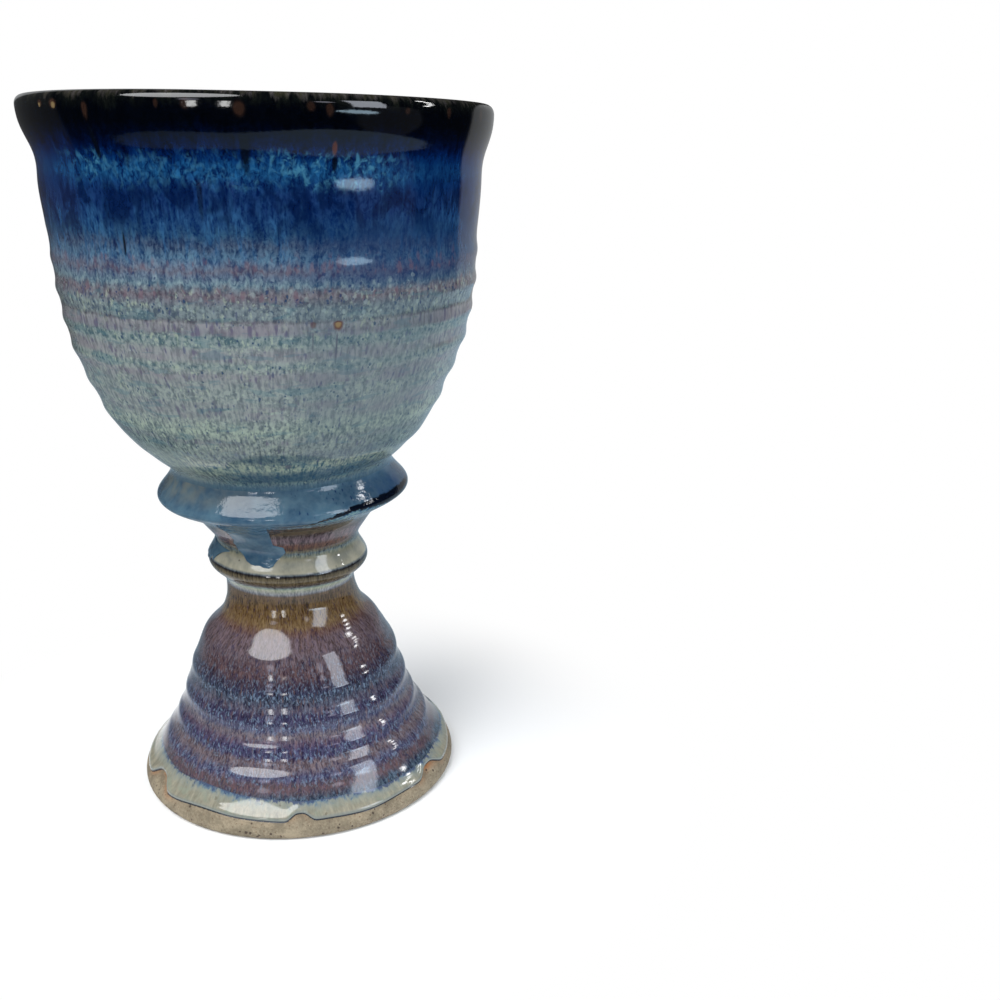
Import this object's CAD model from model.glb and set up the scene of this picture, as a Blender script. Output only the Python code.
"""Turned stoneware chalice in flowing glazes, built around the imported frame."""

import math

import bmesh
import bpy
import numpy as np
from mathutils import Matrix, Vector


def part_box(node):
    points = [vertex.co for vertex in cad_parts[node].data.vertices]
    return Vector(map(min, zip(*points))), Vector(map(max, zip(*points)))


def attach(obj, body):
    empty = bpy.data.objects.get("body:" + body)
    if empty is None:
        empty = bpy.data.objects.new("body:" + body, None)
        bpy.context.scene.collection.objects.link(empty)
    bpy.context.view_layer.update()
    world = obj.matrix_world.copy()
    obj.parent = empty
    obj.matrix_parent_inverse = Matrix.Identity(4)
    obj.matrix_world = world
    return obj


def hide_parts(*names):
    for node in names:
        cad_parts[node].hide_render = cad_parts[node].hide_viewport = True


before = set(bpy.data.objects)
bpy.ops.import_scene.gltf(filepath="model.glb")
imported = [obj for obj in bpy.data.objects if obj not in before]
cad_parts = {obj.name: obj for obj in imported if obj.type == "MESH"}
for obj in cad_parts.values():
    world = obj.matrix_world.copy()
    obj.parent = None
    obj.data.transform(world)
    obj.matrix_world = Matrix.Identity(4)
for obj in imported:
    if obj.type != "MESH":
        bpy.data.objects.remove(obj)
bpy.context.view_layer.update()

MM = 0.001
TURN = 2 * np.pi
FLOW_RADIUS = 50 * MM  # the flow vector of every point winds round the axis at this radius
AROUND = 480  # columns of a glaze coat
PER_METRE = 1000.0  # a length in metres times this is in millimetres
GRAIN = 0.58  # roughness of the noise in the glazes


def low(node):
    """Lowest height of a CAD node, in metres."""
    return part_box(node)[0].z


def high(node):
    """Greatest height of a CAD node, in metres."""
    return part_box(node)[1].z


# Heights of the joints and glaze lines, read from the frame
glaze_line = low("foot_cream_glaze")
cream_line = low("foot_glaze")
waist = high("foot_bell")
stem_foot = low("stem_spool")
cone_line = low("collar_glaze")
stem_top = high("stem_spool")
bowl_base = low("bowl_body")
rim_line = low("rim_glaze_cap")
glaze_coat = high("rim_glaze_cap") - high("bowl_body")


# ---- Thrown profiles ----


def walls(node, least_lean=0.05, same_height=2e-5):
    """Outer and inner wall of a turned node as rows of radius and height, rising.

    A vertex belongs to the outer wall when one of its triangles leans away from the axis,
    and to the inner wall when one leans towards it."""
    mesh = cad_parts[node].data
    mesh.calc_loop_triangles()
    points = np.empty(len(mesh.vertices) * 3, np.float32)
    mesh.vertices.foreach_get("co", points)
    points = points.reshape(-1, 3).astype(float)
    corners = np.empty(len(mesh.loop_triangles) * 3, np.int32)
    mesh.loop_triangles.foreach_get("vertices", corners)
    corners = corners.reshape(-1, 3)
    a, b, c = (points[corners[:, k]] for k in range(3))
    normal = np.cross(b - a, c - a)
    middle = (a + b + c)[:, :2]
    lean = (normal[:, :2] * middle).sum(1)
    lean /= np.linalg.norm(normal, axis=1) * np.linalg.norm(middle, axis=1) + 1e-20
    found = []
    for side in (1, -1):
        used = points[np.unique(corners[lean * side > least_lean])]
        which = np.unique(np.round(used[:, 2] / same_height), return_inverse=True)[1]
        count = np.bincount(which)
        radius = np.bincount(which, np.hypot(used[:, 0], used[:, 1])) / count
        height = np.bincount(which, used[:, 2]) / count
        found.append(np.stack([radius, height], 1))
    return found


def run_of(points):
    """Distance of each point along the line through all of them."""
    return np.concatenate([[0], np.cumsum(np.hypot(*np.diff(points, axis=0).T))])


def softened(points, step=0.1 * MM, spread=0.35 * MM):
    """The points respaced evenly along their line, then averaged over a small bell curve."""
    run = run_of(points)
    even = np.linspace(0, run[-1], int(run[-1] / step) + 1)
    line = np.stack([np.interp(even, run, points[:, k]) for k in (0, 1)], 1)
    reach = int(3 * spread / step)
    weight = np.exp(-0.5 * (np.arange(-reach, reach + 1) * step / spread) ** 2)
    weight /= weight.sum()
    before = 2 * line[0] - line[reach:0:-1]
    after = 2 * line[-1] - line[-2 : -reach - 2 : -1]
    padded = np.concatenate([before, line, after])
    return np.stack([np.convolve(padded[:, k], weight, "valid") for k in (0, 1)], 1)


class ProfileLine:
    """A line of radius and height, looked up by the distance along it."""

    def __init__(self, points):
        self.points = points
        self.run = run_of(points)
        self.top = points[:, 1].argmax()
        course = np.gradient(points, self.run, axis=0)
        course /= np.linalg.norm(course, axis=1)[:, None]
        self.normal = np.stack([course[:, 1], -course[:, 0]], 1)

    def at(self, distance):
        """Radius, height and the two parts of the outward normal at a distance."""
        columns = (*self.points.T, *self.normal.T)
        return [np.interp(distance, self.run, column) for column in columns]

    def up_to(self, height):
        """Distance at which the outside first reaches a height."""
        return np.interp(height, self.points[: self.top, 1], self.run[: self.top])

    def down_to(self, height):
        """Distance at which the inside comes down to a height."""
        return np.interp(-height, -self.points[self.top :, 1], self.run[self.top :])


bell_out, bell_in = walls("foot_bell")
spool_out, spool_in = walls("stem_spool")
bowl_out, bowl_in = walls("bowl_body")
floor_centre = np.array([[0.0, bowl_in[0, 1]]])
clay = ProfileLine(softened(np.concatenate([bell_out, spool_out, bowl_out, bowl_in[::-1], floor_centre])))


# ---- What the hands left: throwing rings, wobble and lean ----

bell_crests = np.array([-2, 4, 14.4, 21, 28.2, 36.2, 45.8, 56, 66]) * MM
bell_swell = np.array([0, 0.10, 0.24, 0.30, 0.32, 0.34, 0.34, 0, 0]) * MM
bell_front = np.array([0.9, 0.9, 0.9, 0.9, 0.9, 0.85, 0.35, 0.35, 0.35])
bowl_crests = np.array([90, 97, 105, 115, 123, 131, 138.5, 146, 153.5, 162, 172, 182]) * MM
bowl_swell = np.array([0, 0, 0.18, 0.30, 0.25, 0.29, 0.28, 0.30, 0.20, 0.03, 0.02, 0]) * MM
calm_heights = np.array([0, 5, 12, 58, 62, 100, 160, 172]) * MM
calm_share = [0, 0.3, 1, 1, 0.4, 1, 1, 0.25]
spiral_pitch = 9.5 * MM
spiral_places = np.array([0, 4, 9, 50, 75, 90]) * MM
spiral_depth = np.array([0, 0.5, 0.62, 0.42, 0.15, 0]) * MM
tuck_height, tuck_reach = 176.5 * MM, 5 * MM  # the tuck below the lip
level_ground = 2 * MM  # the relief fades out over this height above the standing ring
inner_start = 6 * MM  # and turns from the outside's to the inside's over this width at the lip

rng = np.random.default_rng(8)
wobble_turns = np.array([2, 3, 3, 5, 6, 8, 11])
wobble_size = np.array([0.10, 0.08, 0.06, 0.05, 0.04, 0.03, 0.02]) * MM
wobble_start = rng.uniform(0, TURN, 7)
wobble_climb = TURN / (rng.uniform(40, 90, 7) * MM)


def rings(angle, height, crests, swell):
    """Throwing rings: a cosine whose crests pass through the listed heights at the front
    and climb one crest per turn, most of the climb being at the back. A little of the
    cosine of the doubled phase is added, which makes the crests narrower."""
    held_back, narrowing = 0.12, 0.18
    count = np.interp(height, crests, np.arange(len(crests)))
    phase = TURN * (count - (angle / TURN - held_back * np.sin(angle)))
    return np.interp(height, crests, swell) * (np.cos(phase) + narrowing * np.cos(2 * phase))


def hand_relief(angle, distance):
    """Rise of the surface along its normal: outside it is the rings, a bell-shaped tuck
    below the lip and a slow wobble that is a sum of cosines; inside the bowl it is a cosine
    along the profile that turns with the angle, a spiral groove from the middle out."""
    height = clay.at(distance)[1]
    sine = np.sin(angle)
    sideways = np.abs(sine) ** 1.5
    front = np.interp(height, bell_crests, bell_front)
    outside = rings(angle, height, bell_crests, bell_swell) * (front + (1 - front) * sideways)
    shallower_left = 1 - 0.45 * np.clip(-sine, 0, 1) ** 2
    deeper_at_the_sides = 0.2 + 0.8 * sine**4
    outside = outside * shallower_left
    outside = outside + rings(angle, height, bowl_crests, bowl_swell) * deeper_at_the_sides
    tuck = (0.68 - 0.22 * sine) * MM * (0.4 + 0.6 * sideways)
    outside = outside - tuck * np.exp(-(((height - tuck_height) / tuck_reach) ** 2))
    outside = outside * np.clip(height / level_ground, 0, 1)
    wobble = 0
    for turns, size, start, climb in zip(wobble_turns, wobble_size, wobble_start, wobble_climb):
        wobble = wobble + size * np.cos(turns * angle + start + climb * height)
    outside = outside + wobble * np.interp(height, calm_heights, calm_share)
    to_middle = clay.run[-1] - distance
    spiral = np.cos(TURN * to_middle / spiral_pitch - angle)
    inside = np.interp(to_middle, spiral_places, spiral_depth) * spiral
    within = np.clip((distance - clay.run[clay.top]) / inner_start, 0, 1)
    return outside * (1 - within) + inside * within


lean_heights = np.array([0, 15, 50, 61, 90, 97, 106, 120, 155, 190]) * MM
lean_shift = np.array([0.9, 0.9, 0.7, 0.15, 0, -0.3, -1.0, -0.9, 0, 0]) * MM
tilt_heights = np.array([0, 55, 62, 67.5, 74, 80, 88, 96, 104, 190]) * MM
tilt_rate = np.array([0, 0, -0.012, -0.028, -0.014, 0.005, 0.024, 0.016, 0, 0])


def smooth_lookup(height, at, values):
    """A table looked up with an eased step between its entries: it is laid out finely and
    averaged over a bell-shaped window."""
    window, steps = 25, 400
    fine = np.linspace(at[0], at[-1], steps)
    weight = np.hanning(window)
    padded = np.pad(np.interp(fine, at, values), window // 2, mode="edge")
    return np.interp(height, fine, np.convolve(padded, weight / weight.sum(), "valid"))


def by_hand(angle, radius, height):
    """Place in the frame of a point of the true turned shape: the bell and bowl sit a
    little off the axis, and the collar and ring are tipped a little sideways."""
    unmoved = 10 * MM  # the shift fades out within this radius, so that poles stay put
    x = radius * np.sin(angle)
    y = -radius * np.cos(angle)
    z = height + smooth_lookup(height, tilt_heights, tilt_rate) * x
    x = x + smooth_lookup(height, lean_heights, lean_shift) * np.clip(radius / unmoved, 0, 1)
    return np.stack([x, y, z], -1)


def stood_off(angle, distance, lift=0.0):
    """Radius and height of points that stand off the clay by its relief and a lift along
    the normal, with their distance along the profile."""
    radius, height, out, up = clay.at(distance)
    rise = hand_relief(angle, distance) + lift
    return radius + out * rise, height + up * rise, distance + 0 * angle


# ---- Meshes ----


def grid_faces(around, along, poles):
    """Quads of a grid that closes around the axis and along the profile. With poles it
    stays open along the profile, and triangles close it to one point at either end."""
    i = np.arange(around)[:, None]
    nxt = (i + 1) % around
    rows = along - 2 if poles else along
    j = np.arange(rows - 1 if poles else rows)[None]
    up = (j + 1) % rows
    quads = np.stack([i * rows + j, nxt * rows + j, nxt * rows + up, i * rows + up], -1)
    faces = quads.reshape(-1, 4).tolist()
    if poles:
        i, nxt, first = i[:, 0], nxt[:, 0], around * rows
        last_row = rows - 1
        faces += np.stack([i * 0 + first, nxt * rows, i * rows], -1).tolist()
        faces += np.stack([i * rows + last_row, nxt * rows + last_row, i * 0 + first + 1], -1).tolist()
    return faces


def flow_at(angle, distance):
    """A vector that winds round the axis and climbs with the distance along the profile."""
    return np.stack([FLOW_RADIUS * np.cos(angle), FLOW_RADIUS * np.sin(angle), distance], -1)


def make_piece(name, places, faces, node, material, fields, merge=False):
    """A mesh object at the origin from its places and faces, with its point attributes,
    riding on the one body and standing for its CAD node."""
    same_place, no_width, sharp = 2e-6, 1e-7, math.radians(48)
    mesh = bpy.data.meshes.new(name)
    mesh.from_pydata(places.tolist(), [], faces)
    for key, values in fields.items():
        kind, part = ("FLOAT_VECTOR", "vector") if values.ndim == 2 else ("FLOAT", "value")
        made = mesh.attributes.new(key, kind, "POINT")
        made.data.foreach_set(part, values.ravel().astype(np.float32))
    if merge:
        work = bmesh.new()
        work.from_mesh(mesh)
        bmesh.ops.remove_doubles(work, verts=work.verts, dist=same_place)
        bmesh.ops.dissolve_degenerate(work, edges=work.edges, dist=no_width)
        bmesh.ops.recalc_face_normals(work, faces=work.faces)
        work.to_mesh(mesh)
        work.free()
    mesh.shade_smooth()
    mesh.set_sharp_from_angle(angle=sharp)
    mesh.materials.append(material)
    piece = bpy.data.objects.new(name, mesh)
    bpy.context.scene.collection.objects.link(piece)
    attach(piece, "root")
    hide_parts(node)


def turned(name, angle, profile, node, material, poles=False, extras=None):
    """A closed turned piece. Its profile is rows of radius, height and distance, up the
    outside and down the inside. Its attributes are level (height of the true shape), flow
    and any extras."""
    radius, height, distance = profile
    angle = np.broadcast_to(angle, radius.shape)
    fields = {"place": by_hand(angle, radius, height), "level": height, "flow": flow_at(angle, distance)}
    for key, values in {**fields, **(extras or {})}.items():
        more = values.shape[2:]
        values = np.broadcast_to(values, radius.shape + more)
        if poles:
            inner = values[:, 1:-1].reshape(-1, *more)
            fields[key] = np.concatenate([inner, values[:1, 0], values[:1, -1]])
        else:
            fields[key] = values.reshape(-1, *more)
    faces = grid_faces(*radius.shape, poles)
    make_piece(name, fields.pop("place"), faces, node, material, fields)


def angles(count):
    """Evenly spaced angles from the front towards +X, as a column."""
    return np.linspace(-np.pi, np.pi, count, endpoint=False)[:, None]


def waves(angle, parts):
    """Sum of cosines given as turns, size in millimetres and phase."""
    return sum(size * MM * np.cos(turns * angle + phase) for turns, size, phase in parts)


def off_turn(angle, place):
    """Turn in degrees from a place in degrees to an angle, between -180 and 180."""
    return (np.degrees(angle) - place + 180) % 360 - 180


def dips(angle, parts):
    """Sum of rounded steps given as place and half width in degrees and size in millimetres;
    each falls off as e to the minus cube of the turn from its place in half widths."""
    return sum(
        size * MM * np.exp(-((np.abs(off_turn(angle, place)) / half) ** 3)) for place, half, size in parts
    )


def every_few(rows, count):
    """Row numbers spread evenly over a count of rows, with the first and the last."""
    return np.unique(np.round(np.linspace(0, rows - 1, count)).astype(int))


def coat(name, rows, start, finish, node, material, low_edge=0.0, thick=None, extras=None):
    """A glaze coat on the clay line between two distances that may vary round the pot.

    The outer skin stands off the clay by the coat's thickness along the normal, falling to
    the clay in a rounded bead over the lower edge's width, where its rows are crowded; the
    back skin is sunk a little into the clay."""
    crowding, sunk, hair = 0.45, 0.02 * MM, 1e-9
    angle = angles(AROUND)
    share = np.linspace(0, 1, rows)
    if low_edge:
        share = share - crowding * np.sin(TURN * share / 2) * (1 - share)
    distance = start + share[None] * (finish - start) + 0 * angle
    lift = thick(angle, distance) if thick else np.full(distance.shape, glaze_coat)
    if low_edge:
        reach = np.clip((distance - start) / low_edge, 0, 1)
        lift = lift * np.sqrt(1 - (1 - reach) ** 2 + hair)
    skin = stood_off(angle, distance, lift)
    back = stood_off(angle, distance[:, every_few(rows, rows // 3)[::-1]], -sunk)
    radius, height, run = (np.concatenate(pair, 1) for pair in zip(skin, back))
    fields = {"level": clay.at(run)[1], "from_low": run - start, "from_high": finish - run}
    fields.update({key: make(angle, run) for key, make in (extras or {}).items()})
    turned(name, angle, (np.maximum(radius, 0), height, run), node, material, extras=fields)


# ---- Nodes for materials ----

open_trees = []  # nodes are added to the last of these


class Value:
    """A node's output. Arithmetic with it adds Math nodes to the open tree."""

    def __init__(self, socket):
        self.socket = socket

    def __add__(self, other):
        return calculate("ADD", self, other)

    def __sub__(self, other):
        return calculate("SUBTRACT", self, other)

    def __rsub__(self, other):
        return calculate("SUBTRACT", other, self)

    def __mul__(self, other):
        return calculate("MULTIPLY", self, other)

    def __truediv__(self, other):
        return calculate("DIVIDE", self, other)

    def __rtruediv__(self, other):
        return calculate("DIVIDE", other, self)

    def __pow__(self, other):
        return calculate("POWER", self, other)


def paint(red, green, blue):
    """A colour written as it shows, 0 to 255, made linear for a shader."""
    part = np.array([red, green, blue]) / 255
    return (*np.where(part <= 0.04045, part / 12.92, ((part + 0.055) / 1.055) ** 2.4), 1.0)


def feed(socket, value):
    """Links a value to a node's input, or sets the input where it is a plain number."""
    if isinstance(value, Value):
        open_trees[-1].links.new(value.socket, socket)
    else:
        socket.default_value = value


def add(kind, values=(), output=0, **settings):
    """A node with its settings and its inputs fed; gives one of its outputs, or several."""
    node = open_trees[-1].nodes.new("ShaderNode" + kind)
    for key, value in settings.items():
        setattr(node, key, value)
    for key, value in dict(values).items():
        feed(node.inputs[key], value)
    if isinstance(output, tuple):
        return [Value(node.outputs[key]) for key in output]
    return Value(node.outputs[output])


def calculate(operation, *values, clamp=False):
    """A Math node's result."""
    return add("Math", enumerate(values), operation=operation, use_clamp=clamp)


def highest(first, second):
    """The greater of two values."""
    return calculate("MAXIMUM", first, second)


def mixed(factor, first, second):
    """Two numbers mixed by a factor."""
    return add("Mix", {0: factor, 2: first, 3: second})


def stretch(value, start, end, low_value=0.0, high_value=1.0, kind="SMOOTHSTEP"):
    """A value mapped from one span to another."""
    values = {0: value, 1: start, 2: end, 3: low_value, 4: high_value}
    return add("MapRange", values, interpolation_type=kind)


def between(level, start, full, still_full, end):
    """1 from one level to another, easing to 0 outside them."""
    return stretch(level, start, full) * stretch(level, end, still_full)


def over(factor, below, above):
    """Two colours mixed by a factor."""
    return add("Mix", {0: factor, 6: below, 7: above}, 2, data_type="RGBA")


def layered(colour, coats):
    """Coats laid one after another over a colour, each given as its cover and its tone."""
    for cover, tone in coats:
        colour = over(cover, colour, tone if isinstance(tone, Value) else paint(*tone))
    return colour


def field(name, output="Fac"):
    """One of the piece's own point attributes."""
    return add("Attribute", output=output, attribute_name=name)


def in_millimetres(name):
    """An attribute given in metres, in millimetres."""
    return field(name) * PER_METRE


def object_place():
    """The place of a point on its piece, in metres."""
    return add("TexCoord", output="Object")


def looked_up(level, table):
    """A colour that follows the level, from a list of levels in millimetres and colours."""
    first, last = table[0][0], table[-1][0]
    found = add("ValToRGB", {0: stretch(level, first, last, kind="LINEAR")})
    band = found.socket.node.color_ramp.elements
    while len(band) < len(table):
        band.new(0.5)
    for stop, (height, _) in zip(band, table):
        stop.position = (height - first) / (last - first)
    for stop, (_, colour) in zip(band, table):
        stop.color = colour
    return found


def weight_at(level, table):
    """A weight that follows the level, from a list of levels in millimetres and weights."""
    return looked_up(level, [(height, (weight, weight, weight, 1)) for height, weight in table])


def noise(place, scale, detail, roughness=0.5, curl=0.0, output=0):
    """Smooth noise at a place."""
    values = {"Vector": place, "Scale": scale, "Detail": detail, "Roughness": roughness, "Distortion": curl}
    return add("TexNoise", values, output)


def group(name, **inputs):
    """A new node group, opened, with number inputs; gives them as values."""
    tree = bpy.data.node_groups.new(name, "ShaderNodeTree")
    for key, value in inputs.items():
        socket = tree.interface.new_socket(key, in_out="INPUT", socket_type="NodeSocketFloat")
        socket.default_value = value
    open_trees.append(tree)
    given = tree.nodes.new("NodeGroupInput").outputs
    return {key: Value(given[key]) for key in inputs}


def closed_group(name, value):
    """The open group, once a value is led to its one output."""
    tree = open_trees[-1]
    tree.interface.new_socket(name, in_out="OUTPUT", socket_type="NodeSocketFloat")
    feed(tree.nodes.new("NodeGroupOutput").inputs[0], value)
    return tree


def along_the_run(given):
    """The flow vector divided by a grain's width and length, so that noise on it is drawn
    out along the run of the glaze."""
    ahead, aside, run = add("SeparateXYZ", {0: field("flow", "Vector")}, (0, 1, 2))
    climb = run / given["Along"] + given["Shift"]
    return add("CombineXYZ", {0: ahead / given["Across"], 1: aside / given["Across"], 2: climb})


def cell_dots(place, given, scale, detail, bend, least, edge, full):
    """Cells bent by noise, a share of which hold a dot of their own size; the dot fades
    from full to edge, in parts of its size."""
    rough = noise(place, scale, detail, output=1)
    bent = add("VectorMath", {0: rough, 1: (bend, bend, bend), 2: place}, operation="MULTIPLY_ADD")
    off, own = add("TexVoronoi", {"Vector": bent, "Scale": 1.0}, ("Distance", "Color"))
    chance, girth = add("SeparateColor", {0: own}, (0, 1))
    dot = stretch(off / (given["Size"] * (girth + least)), edge, full)
    return dot * calculate("LESS_THAN", chance, given["Share"])


def build_streaks():
    """Noise drawn out along the run of the glaze: grains so wide and so long, that curl."""
    given = group("run_streaks", Across=0.8 * MM, Along=4 * MM, Shift=0.0, Detail=2.0, Curl=0.25)
    grains = noise(along_the_run(given), 1.0, given["Detail"], GRAIN, given["Curl"])
    return closed_group("Streak", grains)


def build_drops():
    """Drops frozen as they ran: cells drawn out along the run, each with a drop or none."""
    given = group("short_drops", Across=1 * MM, Along=2 * MM, Shift=0.0, Size=0.3, Share=0.5)
    place = along_the_run(given)
    drop_in_cell = cell_dots(place, given, scale=1.7, detail=1.0, bend=0.6, least=0.5, edge=1.2, full=0.6)
    return closed_group("Drop", drop_in_cell)


def build_specks():
    """Iron specks: a cell pattern whose cells hold a dot of their own size, or none."""
    given = group("iron_specks", Spacing=3 * MM, Size=0.25, Share=0.5)
    place = add("VectorMath", {0: object_place(), "Scale": 1.0 / given["Spacing"]}, operation="SCALE")
    speck = cell_dots(place, given, scale=4.0, detail=2.0, bend=0.35, least=0.35, edge=1.15, full=0.75)
    return closed_group("Speck", speck)


def build_spot():
    """Nearness to an oval mark at a turn and level, 1 at its middle and 0 at its edge; the
    mark reaches further down than up, and its outline is ragged."""
    given = group("oval_mark", Turn=0.0, Level=0.1, Width=1 * MM, Up=1 * MM, Down=2 * MM, Ragged=0.25)
    flow = field("flow", "Vector")
    ahead, aside = add("SeparateXYZ", {0: flow}, (0, 1))
    sine, cosine = calculate("SINE", given["Turn"]), calculate("COSINE", given["Turn"])
    side = aside * cosine - ahead * sine
    front = ahead * cosine + aside * sine
    rise = field("level") - given["Level"]
    reach = mixed(calculate("GREATER_THAN", rise, 0.0), given["Down"], given["Up"])
    far = calculate("SQRT", (side / given["Width"]) ** 2.0 + (rise / reach) ** 2.0)
    rags_per_metre = 1400.0
    fine = add("VectorMath", {0: flow, "Scale": rags_per_metre}, operation="SCALE")
    rag = (noise(fine, 1.0, 2.0) - 0.5) * given["Ragged"]
    near = calculate("SUBTRACT", 1.0 - far, rag, clamp=True)
    return closed_group("Near", near * calculate("GREATER_THAN", front, 0.0))


def build_glaze_skin():
    """Height of a fired glaze skin: a slow ripple and orange peel."""
    given = group("glaze_skin", Ripple=1.0, Peel=0.25)
    place = object_place()
    height = noise(place, 120.0, 1.0) * given["Ripple"] + noise(place, 700.0, 2.0) * given["Peel"]
    return closed_group("Height", height)


streaks = build_streaks()
drops = build_drops()
specks = build_specks()
spot = build_spot()
glaze_skin = build_glaze_skin()


def streak(across, along, shift=0.0, detail=2.0, curl=0.25):
    """Streak noise of grains so many millimetres wide and long."""
    values = {"Across": across * MM, "Along": along * MM, "Shift": shift, "Detail": detail, "Curl": curl}
    return add("Group", values, node_tree=streaks)


def drop(across, along, size, share, shift=0.0):
    """Short drops in cells so many millimetres wide and long, in a share of the cells."""
    values = {"Across": across * MM, "Along": along * MM, "Shift": shift, "Size": size, "Share": share}
    return add("Group", values, node_tree=drops)


def dots(spacing, size, share):
    """Iron specks in cells of a spacing in millimetres, in a share of the cells."""
    return add("Group", {"Spacing": spacing * MM, "Size": size, "Share": share}, node_tree=specks)


def cloud(size, detail=2.0, shift=0.0):
    """Even noise of clouds so many millimetres across, the same in every direction."""
    moved = add("VectorMath", {0: object_place(), 1: (shift * MM, 0, 0)}, operation="ADD")
    return noise(moved, PER_METRE / size, detail, GRAIN)


def deg(angle):
    """Degrees as radians."""
    return math.radians(angle)


def facing(turn, start, end):
    """How far a point looks towards a turn from the front: the cosine of the angle between
    the two, mapped from one span to 0 to 1."""
    ahead, aside = add("SeparateXYZ", {0: field("flow", "Vector")}, (0, 1))
    cosine, sine = math.cos(deg(turn)) / FLOW_RADIUS, math.sin(deg(turn)) / FLOW_RADIUS
    return stretch(ahead * cosine + aside * sine, start, end)


def surface(name):
    """A new material, opened."""
    material = bpy.data.materials.new(name)
    material.use_nodes = True
    open_trees.append(material.node_tree)
    return material


def shader_of(material):
    """A material's Principled shader."""
    return material.node_tree.nodes["Principled BSDF"]


def finish(material, colour, roughness, height, distance, strength=1.0):
    """The material with its colour, its roughness, and a bump from a height times a
    distance in millimetres."""
    inputs = shader_of(material).inputs
    feed(inputs["Base Color"], colour)
    feed(inputs["Roughness"], roughness)
    feed(inputs["Normal"], add("Bump", {"Height": height, "Distance": distance * MM, "Strength": strength}))
    return material


def finish_glaze(material, colour, mask, roughness=0.07, peel=0.012, ior=1.5):
    """Gloss, thin relief and colour of a fired glaze."""
    shader_of(material).inputs["IOR"].default_value = ior
    rough = stretch(mask, 0.0, 1.0, roughness * 0.8, roughness * 1.5, kind="LINEAR")
    skin = add("Group", {"Ripple": 1.0, "Peel": 0.2}, node_tree=glaze_skin)
    return finish(material, colour, rough, skin + mask * 0.25, peel)


def ragged_level(coarse, fine, calm=None):
    """The level in millimetres, pushed up and down by streaks so that bands fray; calm
    gives two levels between which the fraying grows from a quarter to its full size."""
    push = (streak(3.2, 14.0, 3.0) - 0.5) * coarse + (streak(0.9, 3.0, 7.0, 2.0, 0.6) - 0.5) * fine
    level = in_millimetres("level")
    if calm:
        push = push * stretch(level, *calm, 0.25, 1.0)
    return level + push


def banded(level, table, mask):
    """Colour between a dark and a light grade of the band at a level, in millimetres."""
    dark, light = (
        looked_up(level, [(height, paint(*shades[shade][grade])) for height, shade in table])
        for grade in (0, 1)
    )
    return over(mask, dark, light)


def grain_mask(contrast, curl, run):
    """Glaze grain between 0 and 1: curled mottle, finer short grains and longer runs."""
    mottle = streak(1.15, 1.7, 1.0, 3.0, curl) * (0.6 * (1 - run))
    short = streak(0.6, 1.5, 5.0, 2.0, 0.5) * (0.4 * (1 - run))
    grain = mottle + short + streak(1.9, 8.0, 11.0, 2.0, 0.3) * run
    return stretch(grain, 0.5 - contrast, 0.5 + contrast)


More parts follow.
